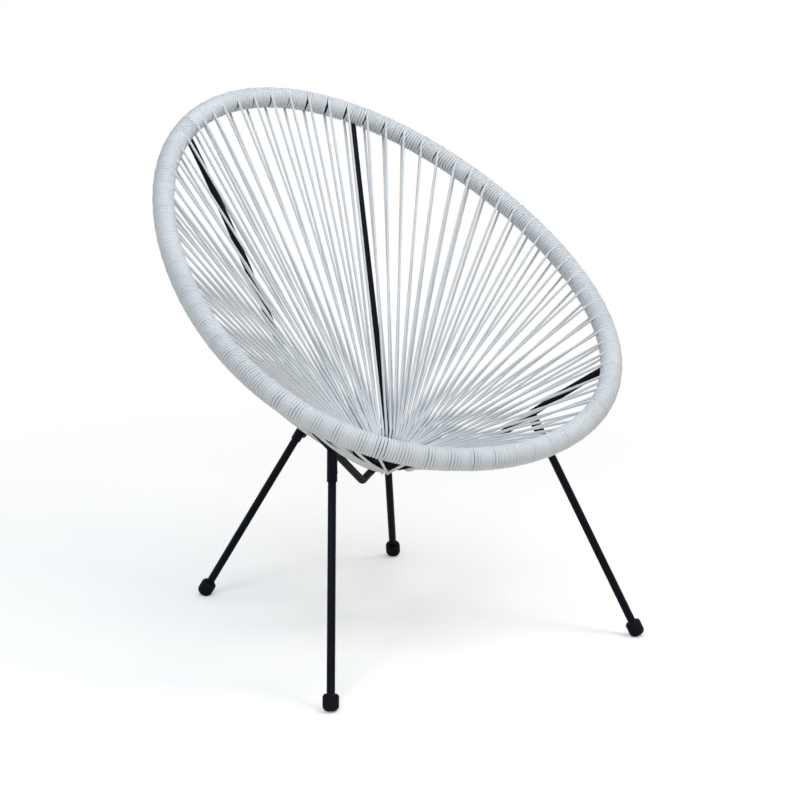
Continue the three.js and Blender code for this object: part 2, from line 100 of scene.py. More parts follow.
CAP_DIAMETER = 25 * MM
CAP_HEIGHT = 26 * MM
CAP_SHOULDER = 3 * MM
CAP_MOUTH_DIAMETER = 20 * MM
CAP_MOUTH_DEPTH = 7 * MM
CAP_ROUNDING = 9 * MM  # of the sole
CAP_EDGE = 0.9 * MM
CAP_FLOOR = 6 * MM  # between the sole and the leg's end
CAP_FLAT_DEPTH = 1.3 * MM  # of the sole's lowest edge, pressed flat on the floor

# The right-hand ribs: the station where each leaves the hoop, how far between two loops its arm
# meets the hub, the bow and belly of its upper part, and its socket's seat, its bend and its foot
RIBS = {
    "front": {
        "station": 9.75,
        "arm_share": 0.61,
        "bow": 60 * MM,
        "belly": np.array([0, 0, 0]) * MM,
        "seat": np.array([187, -168, 352]) * MM,
        "bend": np.array([92, -102, 270.5]) * MM,
        "foot": np.array([291.5, -325.5, 0]) * MM,
    },
    "rear": {
        "station": 30.85,
        "arm_share": 0.7,
        "bow": 415 * MM,
        "belly": np.array([2.5, 24, -13]) * MM,
        "seat": np.array([72, 89, 331]) * MM,
        "bend": np.array([66.5, 75, 298.5]) * MM,
        "foot": np.array([192.5, 250.5, 0]) * MM,
    },
}

cord_radius = CORD_DIAMETER / 2
hoop_tube_radius = HOOP_TUBE_DIAMETER / 2
winding_radius = hoop_tube_radius + FIT_GAP + CORD_DIAMETER
turn_radius = winding_radius - cord_radius
hoop_half_width = OVERALL_WIDTH / 2 - winding_radius
hoop_run = OVERALL_DEPTH - 2 * winding_radius
hoop_length = hoop_run / math.cos(HOOP_TILT)
lip_height = OVERALL_HEIGHT - winding_radius - hoop_run * math.tan(HOOP_TILT)
hub_tube_radius = HUB_TUBE_DIAMETER / 2
rib_radius = RIB_DIAMETER / 2
leg_radius = LEG_DIAMETER / 2
socket_bore = leg_radius + FIT_GAP
socket_radius = socket_bore + SOCKET_WALL

HOOP_UP = np.array([0, -math.sin(HOOP_TILT), math.cos(HOOP_TILT)])
HUB_UP = np.array([0, -math.sin(HUB_TILT), math.cos(HUB_TILT)])
HUB_BACKWARD = np.array([0, math.cos(HUB_TILT), math.sin(HUB_TILT)])
RIGHT = np.array([1.0, 0, 0])

# How finely the pieces are drawn: steps along and sides round

TURN_STEPS = 26  # to one turn of cord on the hoop
HUB_TURN_STEPS = 15  # to a loop's half turn round the hub
STRAND_STEPS = 8  # to the straight part of a strand
LEAD_STEPS = 4  # to the bend in which it leaves the hoop
CORD_SIDES = 10
HOOP_STEPS, HOOP_SIDES = 432, 32
WIDTH_TABLE, LENGTH_TABLE = 721, 2881  # places in the tables of the hoop's width and length
HUB_STEPS, HUB_SIDES = 144, 28
WELD_STEPS, WELD_SIDES = 104, 10
RIB_STEPS, RIB_BEND_STEPS, RIB_SIDES = 60, 14, 28
CAP_SOLE_STEPS, CAP_SIDES = 9, 64
LEG_SIDES, SOCKET_SIDES, SCREW_SIDES = 48, 56, 48

# Directions from which sides are counted, none of them along an axis that they go round
RING_START = np.array([0.31, 0.87, 0.38])
TURNED_START = np.array([0.0, 1.0, 0.11])
RIB_START = np.array([0.0, 0.35, 1.0])


# Vectors and curves

def unit(vectors):
    """Each vector divided by its length."""
    return vectors / np.linalg.norm(vectors, axis=-1, keepdims=True)


def dot(a, b):
    """Dot product along the last axis, which is kept."""
    return np.sum(a * b, axis=-1, keepdims=True)


def square_to(vectors, axis):
    """Each vector less its part along the axis, as a unit vector."""
    return unit(vectors - dot(vectors, axis) * axis)


def even_turn(steps):
    """Angles of one whole turn in even steps."""
    return np.linspace(0, 2 * np.pi, steps, endpoint=False)


def swung(first, second, angle):
    """The first direction times the angle's cosine plus the second times its sine."""
    return np.cos(angle) * first + np.sin(angle) * second


def drawn_curve(start, corner, end, share):
    """Points at shares of the curve from start to end that is drawn out towards a corner: start
    times (1 - share) squared, corner times 2 share (1 - share), and end times share squared."""
    return (1 - share) ** 2 * start + 2 * share * (1 - share) * corner + share ** 2 * end


def run_along(path):
    """Length of a path from its start to each of its points."""
    steps = np.linalg.norm(np.diff(path, axis=0), axis=1)
    return np.concatenate([[0], np.cumsum(steps)])


NOISE_VALUES = 4096


def smooth_noise(places, seed, spacing=1.0):
    """Even noise from -1 to 1: random values at every spacing, joined by a raised cosine."""
    values = np.random.default_rng(seed).uniform(-1, 1, NOISE_VALUES)
    scaled = np.asarray(places) / spacing
    before = np.floor(scaled).astype(int)
    share = (1 - np.cos(np.pi * (scaled - before))) / 2
    last, following = values[before % NOISE_VALUES], values[(before + 1) % NOISE_VALUES]
    return last * (1 - share) + following * share


# Meshes

def grid_faces(rows, sides, closed=False):
    """Four corners of each cell of a grid of rings, row by row. A closed grid has cells between
    its last ring and its first, too."""
    first_rows = np.arange(rows if closed else rows - 1)
    row, side = np.meshgrid(first_rows, np.arange(sides), indexing="ij")
    next_row, next_side = (row + 1) % rows, (side + 1) % sides
    corners = [
        row * sides + side, row * sides + next_side,
        next_row * sides + next_side, next_row * sides + side,
    ]
    return np.stack(corners, axis=-1).reshape(-1, 4)


def end_faces(rows, sides):
    """One face over the first ring of a grid and one over the last, both turned outwards."""
    last = rows * sides
    return [range(sides - 1, -1, -1), range(last - sides, last)]


def mesh_piece(name, points, faces, finish, replaced=(), caps=(), attribute=None):
    """A smooth-shaded piece from a grid's points and faces, with a face over each ring in caps."""
    loops = [tuple(face) for face in faces.tolist()] + [tuple(cap) for cap in caps]
    mesh = bpy.data.meshes.new(name)
    mesh.from_pydata(points.reshape(-1, 3).tolist(), [], loops)
    mesh.shade_smooth()
    if attribute is not None:
        layer = mesh.attributes.new("cord_run", "FLOAT_VECTOR", "POINT")
        layer.data.foreach_set("vector", attribute.astype(np.float32).ravel())
    mesh.materials.append(finish)
    piece = bpy.data.objects.new(name, mesh)
    bpy.context.scene.collection.objects.link(piece)
    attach(piece, "root")
    if replaced:
        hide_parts(*replaced)


def section_rings(path, outward, radius, sides):
    """Rings round a path: at each point the outward direction, squared to the path, is turned
    once round the path's tangent in even steps and scaled by the radius there."""
    tangent = unit(np.gradient(path, axis=0))
    first = square_to(outward, tangent)
    second = np.cross(tangent, first)
    spoke = swung(first[:, None], second[:, None], even_turn(sides)[None, :, None])
    return path[:, None] + np.reshape(radius, (-1, 1, 1)) * spoke


def ring_piece(name, centre, axis, radius, thickness, steps, sides, replaced=(), ripples=0):
    """A coated steel torus: a circle of the radius round an axis, its tube thicker and thinner by
    a cosine with as many waves as there are ripples."""
    axis = unit(axis)
    turn = even_turn(steps)
    first = square_to(RING_START, axis)
    spoke = swung(first, np.cross(axis, first), turn[:, None])
    upward = np.cross(np.cross(axis, spoke), spoke)
    wave = WELD_RIPPLE_SHARE * np.cos(ripples * turn) if ripples else np.zeros(steps)
    out = swung(spoke[:, None], upward[:, None], even_turn(sides)[None, :, None])
    points = centre + (radius * spoke)[:, None] + (thickness * (1 + wave))[:, None, None] * out
    faces = grid_faces(steps, sides, closed=True)
    mesh_piece(name, points, faces, steel_coat, replaced)


def turned_piece(name, profile, base, axis, sides, finish, replaced, shape=None):
    """A profile of radius and height turned round an axis from its base, closed at both poles.
    A shape changes the radii first. What would reach below the floor is pressed flat on it."""
    profile = np.array(profile)
    turn = even_turn(sides)
    radius = np.repeat(profile[:, :1], sides, axis=1)
    height = np.repeat(profile[:, 1:], sides, axis=1)
    if shape is not None:
        radius = shape(radius, turn)
    first = square_to(TURNED_START, axis)
    spoke = swung(first, np.cross(axis, first), turn[:, None])
    points = base + radius[..., None] * spoke + height[..., None] * axis
    points[..., 2] = np.maximum(points[..., 2], 0)
    faces, caps = grid_faces(len(profile), sides), end_faces(len(profile), sides)
    mesh_piece(name, points, faces, finish, replaced, caps)


def rounded_profile(corners, rounding, steps=5):
    """An open profile with each inner corner rounded: near a corner the line follows the curve
    between two points at the rounding's distance, drawn out towards the corner."""
    corners = np.array(corners, float)
    before = corners[1:-1] + rounding * unit(corners[:-2] - corners[1:-1])
    after = corners[1:-1] + rounding * unit(corners[2:] - corners[1:-1])
    curve = drawn_curve(before, corners[1:-1], after, np.linspace(0, 1, steps)[:, None, None])
    middle = curve.transpose(1, 0, 2).reshape(-1, 2)
    return np.concatenate([corners[:1], middle, corners[-1:]])


# Materials

# Cells of each pattern to the metre
PEEL_SCALE = 820.0  # 1.2 mm: the orange peel of powder coat
COAT_CLOUD_SCALE = 26.0  # 38 mm: slow change of its gloss
HANDLING_SCALE = 14.0  # 71 mm: slight soiling of the cord
DIE_LINE_SCALE = 2.2  # with the stretch, 76 mm along the cord and 0.2 mm round it: die lines
RUN_STRETCH = (6.0, 5.0, 5.0)
GRAIN_SCALE = 2400.0  # 0.4 mm: the spark-eroded grain of moulded rubber
DUST_SCALE = 90.0  # 11 mm: floor dust on it
PLATING_SCALE = 700.0  # 1.4 mm: clouds in zinc plate

# Depth of each pattern
PEEL_DEPTH = 0.12 * MM
DIE_LINE_DEPTH = 0.1 * MM
GRAIN_DEPTH = 0.08 * MM


def linear(hex_colour):
    """An sRGB hex colour as linear red, green, blue and one, by the curve of the sRGB standard."""
    channels = np.array([int(hex_colour[i:i + 2], 16) for i in (0, 2, 4)]) / 255
    low, high = channels / 12.92, ((channels + 0.055) / 1.055) ** 2.4
    return (*np.where(channels <= 0.04045, low, high).tolist(), 1.0)


def add_node(tree, kind, settings=None, links=None, **values):
    """Adds a node: settings are its own properties, links say what feeds its sockets, and values
    fill the sockets that nothing feeds."""
    node = tree.nodes.new(kind)
    for name, value in (settings or {}).items():
        setattr(node, name, value)
    for name, value in values.items():
        node.inputs[name.replace("_", " ")].default_value = value
    for name, source in (links or {}).items():
        tree.links.new(source, node.inputs[name])
    return node


def new_finish(name):
    """A material, and the empty tree in which its nodes are put."""
    finish = bpy.data.materials.new(name)
    finish.use_nodes = True
    finish.node_tree.nodes.clear()
    return finish, finish.node_tree


def powder_coat(name, dark, light, roughness):
    """Polyester powder coat baked on steel: near black with a blue tint, satin, with the soft
    orange peel of powder that has flowed, about 1.2 mm across, and a slow change of gloss."""
    finish, tree = new_finish(name)
    place = add_node(tree, "ShaderNodeTexCoord").outputs["Object"]
    peel = add_node(
        tree, "ShaderNodeTexNoise", links={"Vector": place}, Scale=PEEL_SCALE, Detail=2.0,
    )
    cloud = add_node(
        tree, "ShaderNodeTexNoise", links={"Vector": place}, Scale=COAT_CLOUD_SCALE, Detail=3.0,
    )
    colour = add_node(
        tree, "ShaderNodeMixRGB", links={"Fac": cloud.outputs["Fac"]},
        Color1=linear(dark), Color2=linear(light),
    )
    gloss = add_node(
        tree, "ShaderNodeMapRange", links={"Value": cloud.outputs["Fac"]},
        From_Min=0.3, From_Max=0.7, To_Min=roughness - 0.05, To_Max=roughness + 0.05,
    )
    bump = add_node(
        tree, "ShaderNodeBump", links={"Height": peel.outputs["Fac"]},
        Strength=0.25, Distance=PEEL_DEPTH,
    )
    shader = add_node(
        tree, "ShaderNodeBsdfPrincipled",
        links={
            "Base Color": colour.outputs["Color"],
            "Roughness": gloss.outputs["Result"],
            "Normal": bump.outputs["Normal"],
        },
        Specular_IOR_Level=0.07,
    )
    add_node(tree, "ShaderNodeOutputMaterial", links={"Surface": shader.outputs["BSDF"]})
    return finish


def pvc_cord(name, pale, shaded):
    """Extruded white PVC cord: smooth and a little waxy, with fine die lines along its length, a
    gloss that follows them, and slight soiling where it has been handled."""
    finish, tree = new_finish(name)
    run = add_node(tree, "ShaderNodeAttribute", {"attribute_name": "cord_run"}).outputs["Vector"]
    place = add_node(tree, "ShaderNodeTexCoord").outputs["Object"]
    stretched = add_node(tree, "ShaderNodeMapping", links={"Vector": run}, Scale=RUN_STRETCH)
    lines = add_node(
        tree, "ShaderNodeTexNoise", links={"Vector": stretched.outputs["Vector"]},
        Scale=DIE_LINE_SCALE, Detail=3.0,
    )
    slow = add_node(
        tree, "ShaderNodeTexNoise", links={"Vector": place}, Scale=HANDLING_SCALE, Detail=4.0,
    )
    colour = add_node(
        tree, "ShaderNodeMixRGB", links={"Fac": slow.outputs["Fac"]},
        Color1=linear(shaded), Color2=linear(pale),
    )
    gloss = add_node(
        tree, "ShaderNodeMapRange", links={"Value": lines.outputs["Fac"]},
        From_Min=0.3, From_Max=0.7, To_Min=0.5, To_Max=0.62,
    )
    bump = add_node(
        tree, "ShaderNodeBump", links={"Height": lines.outputs["Fac"]},
        Strength=0.15, Distance=DIE_LINE_DEPTH,
    )
    shader = add_node(
        tree, "ShaderNodeBsdfPrincipled",
        links={
            "Base Color": colour.outputs["Color"],
            "Roughness": gloss.outputs["Result"],
            "Normal": bump.outputs["Normal"],
        },
        IOR=1.53,
    )
    add_node(tree, "ShaderNodeOutputMaterial", links={"Surface": shader.outputs["BSDF"]})
    return finish


def moulded_rubber(name, dark, light):
    """Injection-moulded black rubber: matt, with a fine spark-eroded grain of about 0.4 mm and a
    little dust."""
    finish, tree = new_finish(name)
    place = add_node(tree, "ShaderNodeTexCoord").outputs["Object"]
    grain = add_node(
        tree, "ShaderNodeTexNoise", links={"Vector": place}, Scale=GRAIN_SCALE, Detail=2.0,
    )
    dust = add_node(
        tree, "ShaderNodeTexNoise", links={"Vector": place}, Scale=DUST_SCALE, Detail=4.0,
    )
    colour = add_node(
        tree, "ShaderNodeMixRGB", links={"Fac": dust.outputs["Fac"]},
        Color1=linear(dark), Color2=linear(light),
    )
    bump = add_node(
        tree, "ShaderNodeBump", links={"Height": grain.outputs["Fac"]},
        Strength=0.35, Distance=GRAIN_DEPTH,
    )
    shader = add_node(
        tree, "ShaderNodeBsdfPrincipled",
        links={"Base Color": colour.outputs["Color"], "Normal": bump.outputs["Normal"]},
        Roughness=0.62, Specular_IOR_Level=0.08,
    )
    add_node(tree, "ShaderNodeOutputMaterial", links={"Surface": shader.outputs["BSDF"]})
    return finish


def black_zinc(name, dark, light):
    """Black-passivated zinc plate on a turned screw: dark metal with a faint cloudy sheen."""
    finish, tree = new_finish(name)
    place = add_node(tree, "ShaderNodeTexCoord").outputs["Object"]
    cloud = add_node(
        tree, "ShaderNodeTexNoise", links={"Vector": place}, Scale=PLATING_SCALE, Detail=3.0,
    )
    colour = add_node(
        tree, "ShaderNodeMixRGB", links={"Fac": cloud.outputs["Fac"]},
        Color1=linear(dark), Color2=linear(light),
    )
    shader = add_node(
        tree, "ShaderNodeBsdfPrincipled", links={"Base Color": colour.outputs["Color"]},
        Metallic=0.9, Roughness=0.38,
    )
    add_node(tree, "ShaderNodeOutputMaterial", links={"Surface": shader.outputs["BSDF"]})
    return finish


steel_coat = powder_coat("black_satin_powder_coat", dark="060810", light="13151f", roughness=0.42)
cord_finish = pvc_cord("white_extruded_pvc", pale="e1e4e7", shaded="c9cbcd")
cap_rubber = moulded_rubber("black_moulded_rubber", dark="090a11", light="14161f")
screw_zinc = black_zinc("black_passivated_zinc", dark="1a1b20", light="34353c")


# Hoop and hub

def egg_shape(turn):
    """Half width of the hoop's outline: a sine made egg-shaped by a first and a second cosine."""
    return np.sin(turn) * (1 + EGG_SHARE * np.cos(turn) + SHOULDER_SHARE * np.cos(2 * turn))


widest_share = egg_shape(np.linspace(0, np.pi, WIDTH_TABLE)).max()


def hoop_point(share):
    """Point of the hoop at a share of its turn: the outline's half width sideways, and a cosine
    run from the lip to the crown along the tilted plane."""
    turn = 2 * np.pi * np.asarray(share)
    along = (hoop_length / 2) * (1 - np.cos(turn))
    side = hoop_half_width * egg_shape(turn) / widest_share
    back = along * math.cos(HOOP_TILT) - hoop_run / 2
    return np.stack([side, back, along * math.sin(HOOP_TILT) + lip_height], axis=-1)


# Shares of the hoop's turn and the length run to each, from which a station's share is read
hoop_shares = np.linspace(0, 1, LENGTH_TABLE)
hoop_runs = run_along(hoop_point(hoop_shares))

NEARBY_SHARE = 1e-4  # of the turn to either side, between which the hoop's direction is taken


def hoop_place(station):
    """Centre of the hoop's tube at a station, and its direction there."""
    run = (np.asarray(station) / LOOP_COUNT % 1) * hoop_runs[-1]
    share = np.interp(run, hoop_runs, hoop_shares)
    ahead, behind = hoop_point(share + NEARBY_SHARE), hoop_point(share - NEARBY_SHARE)
    return hoop_point(share), unit(ahead - behind)


rib_stations = np.array(
    [place for rib in RIBS.values() for place in (rib["station"], LOOP_COUNT - rib["station"])],
)


def hub_angle(station):
    """Angle on the hub of a station: even steps, and extra room where a rib comes in."""
    rib_angle = HUB_RIB_WIDTH / HUB_RADIUS
    pitch = (2 * np.pi - len(rib_stations) * rib_angle) / LOOP_COUNT
    station = np.asarray(station, float)
    passed = np.sum(rib_stations < (station % LOOP_COUNT)[..., None], axis=-1)
    passed = passed + len(rib_stations) * np.floor(station / LOOP_COUNT)
    return station * pitch + rib_angle * passed


def hub_place(angle):
    """Centre of the hub's tube at an angle from the lip's side, and its direction there."""
    outward = swung(-HUB_BACKWARD, RIGHT, np.asarray(angle)[..., None])
    return HUB_CENTRE + HUB_RADIUS * outward, np.cross(HUB_UP, outward)


hoop_line, hoop_along = hoop_place(np.linspace(0, LOOP_COUNT, HOOP_STEPS, endpoint=False))
hoop_side = np.cross(HOOP_UP, hoop_along)
hoop_spokes = swung(
    hoop_side[:, None], np.cross(hoop_along, hoop_side)[:, None],
    even_turn(HOOP_SIDES)[None, :, None],
)
mesh_piece(
    "hoop", hoop_line[:, None] + hoop_tube_radius * hoop_spokes,
    grid_faces(HOOP_STEPS, HOOP_SIDES, closed=True), steel_coat, ["hoop_tube"],
)
ring_piece(
    "hub", HUB_CENTRE, HUB_UP, HUB_RADIUS, hub_tube_radius, HUB_STEPS, HUB_SIDES, ["hub_ring"],
)


# Cord

LOOP_SLIP = 0.5 / TURNS_PER_LOOP  # the half turn that a loop leaves bare on the hoop
LEAD = 9 * MM  # of a strand, on which it bends away from the hoop
LEAD_SKIP = 2  # steps of the winding that the bend takes up
OUTER_SHARE = 0.15  # of a layer's thickness that is left where the cord leaves the hub
PRESSED = 0.1  # how much wider the cord is where it lies pressed on the hoop
SWELL = 0.012  # how far its thickness wanders
SWELL_SPACING = 0.05  # metres along it
SAME_PLACE = 1e-6  # points that are nearer than this are one

# A loop's own turn stands proud of the others, and they lie a little unevenly
PROUD = 0.7 * MM
PROUD_TURNS = 1.1  # to either side, over which this falls to nothing
UNEVEN = 0.05 * MM  # up and down
UNEVEN_SPACING = 0.7  # in turns
TURN_STRAY = 0.035  # in turns, along the hoop

# On the outer side the turns crowd away from a loop's own turn
CROWDING = 0.018  # in loops
CROWDING_SPREAD = 0.015  # more or less from loop to loop

# On the inner side they close in on the half turn that it leaves bare
CLOSING = 0.06  # in loops, at most
CLOSING_FULL_AT = 0.1  # loops from the middle of the bare half turn
CLOSED_SHARE = 0.62  # of the closing that the winding reaches
CLOSED_SPREAD = 0.5  # more or less from loop to loop

# Where the winding leaves no bare slits beside the strings: station and addition to that share
TIGHT = np.array([[8, 0], [12, 0.6], [24, 0.6], [27, 0]])

# Where the hand-wound loops have strayed from even spacing, in loops: station and shift
STRAYED = np.array([
    [0, 0], [5, 0], [7, 0.25], [9, 0.3], [10, 0.08], [12, -0.25], [15, -0.3], [19, -0.2],
    [23, -0.08], [26, 0], [30, 0.1], [33, 0.22], [36, 0.3], [38, 0.3], [40, 0.08], [41, -0.2],
    [42, 0.05], [46, 0.2], [50, 0], [56, -0.15], [62, 0], [65, -0.2], [67, -0.1], [72, 0],
])
LOOP_STRAY = 0.04  # of each loop by itself
LIP_FADE = 4  # loops over which this fades out at the lip

# Near the lip the pulled loops have slid along the hub to either side of a bare stretch of it
BARE_FROM = math.radians(-27.5)
BARE_TO = math.radians(20)
LAST_LEFT_LOOP = -5  # counted from the lip: the last that lies on the left of that stretch
SLID_LOOPS = 9  # on either side of the lip

# How far upper strands slide along the hub, and those that have slid towards a rib's end: loop
# and angle in degrees
SLIDING = math.radians(2.4)
LEANING = {28: 2.5, 29: 6, 30: 10.5, 31: -1.5, 41: 1.5, 42: -8, 43: -4}

# Lower strands left of the lip that hang slack below the bowl: loop and sag in millimetres
SLACK = {59: 3.0, 61: 8.0, 62: 5.0, 63: 9.0, 64: 6.0, 65: 4.0}

# Seeds of the noise in each part of the winding; a stretch adds its first loop to the swell's
SEEDS = {
    "crowding": 3, "stray": 5, "closed": 7, "uneven": 9, "slide": 21, "loop": 23, "swell": 100,
}


def table_value(table, station):
    """Value at a station between the rows of a table of stations and values."""
    return np.interp(station % LOOP_COUNT, table[:, 0], table[:, 1])


def strayed(station):
    """Station moved by the shift of the hand winding there: the table's, and a small one of its
    own at each loop, which fades out at the lip."""
    around = station % LOOP_COUNT
    fade = np.clip(np.minimum(around, LOOP_COUNT - around) / LIP_FADE, 0, 1)
    own = LOOP_STRAY * fade * smooth_noise(around, SEEDS["loop"])
    return station + table_value(STRAYED, station) + own


def from_lip(loop):
    """Loops counted from the middle of the lip, below nought on the left."""
    return (loop + LOOP_COUNT / 2) % LOOP_COUNT - LOOP_COUNT / 2


def loop_angle(loop):
    """Angle on the hub of each loop: its even place, or near the lip a place packed against the
    bare stretch of the ring, in even steps from there to the rib."""
    place = from_lip(loop)
    rib = float(hub_angle(SLID_LOOPS))
    left_step = (rib + BARE_FROM) / (SLID_LOOPS + LAST_LEFT_LOOP)
    right_step = (rib - BARE_TO) / (SLID_LOOPS - LAST_LEFT_LOOP - 1)
    left = BARE_FROM - (LAST_LEFT_LOOP - place) * left_step
    right = BARE_TO + (place - LAST_LEFT_LOOP - 1) * right_step
    packed = np.where(place <= LAST_LEFT_LOOP, left, right)
    return np.where(np.abs(place) <= SLID_LOOPS, packed, hub_angle(loop))


def loop_layer(loop):
    """How far a loop lies over the first layer on the hub's inner side: two layers, and four
    where the loops are packed."""
    layer = np.where(np.abs(from_lip(loop)) <= SLID_LOOPS, loop % 4, loop % 2)
    return layer * (CORD_DIAMETER + FIT_GAP)


def lean(loop):
    """Angle by which a loop's upper strand has slid along the hub from its lower one: a little
    everywhere, and over the rear ribs' ends by the amounts listed for those loops."""
    slid = SLIDING * smooth_noise(loop, SEEDS["slide"])
    for leaning, degrees in LEANING.items():
        slid = np.where(loop == leaning, math.radians(degrees), slid)
    return slid


def sag(loop):
    """How far the middle of a loop's lower strand hangs below a straight line."""
    depth = np.zeros(len(loop))
    for slack, millimetres in SLACK.items():
        depth = np.where(loop == slack, millimetres * MM, depth)
    return depth


def winding_place(station, angle, radius):
    """Point on the winding at a station: the radius round the hoop's centre, at an angle from the
    direction to the hub towards the bowl's upper side, with that direction outwards."""
    centre, along = hoop_place(strayed(station))
    toward = square_to(HUB_CENTRE - centre, along)
    outward = swung(toward, np.cross(along, toward), angle[..., None])
    return centre + radius[..., None] * outward, outward


def turns(first, last, from_angle):
    """Helix round the hoop from one station to another: the angle falls by one turn for each
    eighth of a loop's pitch. On the outer side the turns crowd away from a loop's own turn by a
    sine of the station, and that turn stands proud. On the inner side, where the loop leaves a
    turn's width bare, they close in on it, by most next to it and by nothing half way to the next
    loop, more at some loops than at others."""
    steps = int(round(TURNS_PER_LOOP * TURN_STEPS * (last[0] - first[0])))
    share = np.linspace(0, 1, steps + 1)
    station = first[:, None] + (last - first)[:, None] * share
    angle = from_angle - 2 * np.pi * TURNS_PER_LOOP * (station - first[:, None])
    turn, nearest = station * TURNS_PER_LOOP, np.round(station)
    own = (station + 0.5) % 1 - 0.5
    level = np.clip(np.abs(own) * TURNS_PER_LOOP / PROUD_TURNS, 0, 1)

    crowding = CROWDING + CROWDING_SPREAD * smooth_noise(nearest, SEEDS["crowding"])
    outer_shift = crowding * np.sin(2 * np.pi * station)

    bare = own - LOOP_SLIP / 2
    closed = CLOSED_SHARE + CLOSED_SPREAD * smooth_noise(nearest, SEEDS["closed"])
    closed = np.clip(closed + table_value(TIGHT, nearest), 0, 1)
    rise = np.clip(np.abs(bare) / CLOSING_FULL_AT, 0, 1)
    fall = np.clip(0.5 - np.abs(bare), 0, 1) / (0.5 - CLOSING_FULL_AT)
    inner_shift = -closed * CLOSING * np.sign(bare) * rise * fall

    inner = (1 + np.cos(angle)) / 2
    stray = smooth_noise(turn, SEEDS["stray"]) * TURN_STRAY / TURNS_PER_LOOP * level
    moved = station + outer_shift * (1 - inner) + inner_shift * inner + stray
    uneven = UNEVEN * smooth_noise(turn, SEEDS["uneven"], UNEVEN_SPACING)
    return winding_place(moved, angle, turn_radius + PROUD * (1 - level) + uneven)


def lead_between(start, corner, end):
    """Points of the curve from start to end that a corner draws out, without its two ends."""
    share = np.linspace(0, 1, LEAD_STEPS + 2)[1:-1][:, None]
    return drawn_curve(start[:, None], corner[:, None], end[:, None], share)


def loop_path(loop):
    """Loops of cord with the half pitch of turns on either side: up round the hoop, off its top
    to the hub, round the hub's inner side, back to the hoop's underside and on round it. Gives the
    path, its outward direction, and how much of each point is wound on the hoop."""
    up, up_out = turns(loop - 0.5, loop, np.pi / 2 + np.pi * TURNS_PER_LOOP)
    down, down_out = turns(loop + LOOP_SLIP, loop + 0.5, -np.pi / 2)

    wrap = np.linspace(np.pi / 2, -np.pi / 2, HUB_TURN_STEPS)
    hub_turn = loop_angle(loop)[:, None] + lean(loop)[:, None] * (1 + np.sin(wrap)) / 2
    hub, hub_along = hub_place(hub_turn)
    away_from_hoop = unit(hub[:, HUB_TURN_STEPS // 2] - hoop_place(strayed(loop))[0])
    inside = square_to(away_from_hoop[:, None], hub_along)
    round_out = swung(inside, np.cross(hub_along, inside), wrap[:, None])
    over = loop_layer(loop)[:, None] * (OUTER_SHARE + (1 - OUTER_SHARE) * np.cos(wrap) ** 2)
    round_hub = hub + (hub_tube_radius + FIT_GAP + cord_radius + over)[..., None] * round_out

    top, bottom = up[:, -1], down[:, 0]
    hub_top, hub_bottom = round_hub[:, 0], round_hub[:, -1]
    leaving = top + LEAD * unit(hub_top - top)
    landing = bottom + LEAD * unit(hub_bottom - bottom)
    share = np.linspace(0, 1, STRAND_STEPS + 1)[:-1][:, None]
    outgoing = leaving[:, None] * (1 - share) + hub_top[:, None] * share
    returning = hub_bottom[:, None] * (1 - share) + landing[:, None] * share
    returning = returning - sag(loop)[:, None, None] * 4 * share * (1 - share) * HUB_UP

    first_out, last_out = up_out[:, -1:], down_out[:, :1]
    outgoing_out = first_out * (1 - share) + round_out[:, :1] * share
    returning_out = round_out[:, -1:] * (1 - share) + last_out * share
    parts = [
        (up[:, :-LEAD_SKIP], up_out[:, :-LEAD_SKIP]),
        (lead_between(up[:, -1 - LEAD_SKIP], top, leaving), first_out.repeat(LEAD_STEPS, axis=1)),
        (outgoing, outgoing_out),
        (round_hub, round_out),
        (returning[:, 1:], returning_out[:, 1:]),
        (landing[:, None], last_out),
        (lead_between(landing, bottom, down[:, LEAD_SKIP]), last_out.repeat(LEAD_STEPS, axis=1)),
        (down[:, LEAD_SKIP:], down_out[:, LEAD_SKIP:]),
    ]
    path, outward = (np.concatenate(part, axis=1) for part in zip(*parts))
    wound = np.zeros(path.shape[1])
    wound[:up.shape[1] - LEAD_SKIP] = 1
    wound[-(down.shape[1] - LEAD_SKIP):] = 1
    return path, outward, wound


def cord_piece(name, first, last, replaced):
    """One stretch of the cord, from half a pitch before its first loop to half after its last, a
    little wider where it lies pressed on the hoop. Its attribute is the run along the cord and
    the cosine and sine of the angle round it."""
    path, outward, wound = loop_path(np.arange(first, last + 1, dtype=float))
    path, outward = path.reshape(-1, 3), outward.reshape(-1, 3)
    kept = np.diff(run_along(path), prepend=-1) > SAME_PLACE
    path, outward, wound = path[kept], outward[kept], np.tile(wound, last - first + 1)[kept]
    length = run_along(path)
    wander = SWELL * smooth_noise(length, SEEDS["swell"] + first, SWELL_SPACING)
    rings = section_rings(path, outward, cord_radius * (1 + PRESSED * wound + wander), CORD_SIDES)
    angle = even_turn(CORD_SIDES)
    run = np.broadcast_arrays(length[:, None], np.cos(angle), np.sin(angle))
    mesh_piece(
        name, rings, grid_faces(len(path), CORD_SIDES), cord_finish, [replaced],
        end_faces(len(path), CORD_SIDES), np.stack(run, axis=-1),
    )


LIP_LOOPS, SIDE_LOOPS, CROWN_LOOPS = 5, 6, 7
SIDE_STRETCHES = 5

cord_piece("webbing_lip", -(LIP_LOOPS // 2), LIP_LOOPS // 2, "cord_lip")
crown_from = (LOOP_COUNT - CROWN_LOOPS + 1) // 2
cord_piece("webbing_crown", crown_from, crown_from + CROWN_LOOPS - 1, "cord_crown")
for number in range(1, SIDE_STRETCHES + 1):
    start = LIP_LOOPS // 2 + 1 + SIDE_LOOPS * (number - 1)
    stop = start + SIDE_LOOPS - 1
    cord_piece(f"webbing_{number}_right", start, stop, f"cord_{number}_right")
    start, stop = LOOP_COUNT - stop, LOOP_COUNT - start
    cord_piece(f"webbing_{number}_left", start, stop, f"cord_{number}_left")


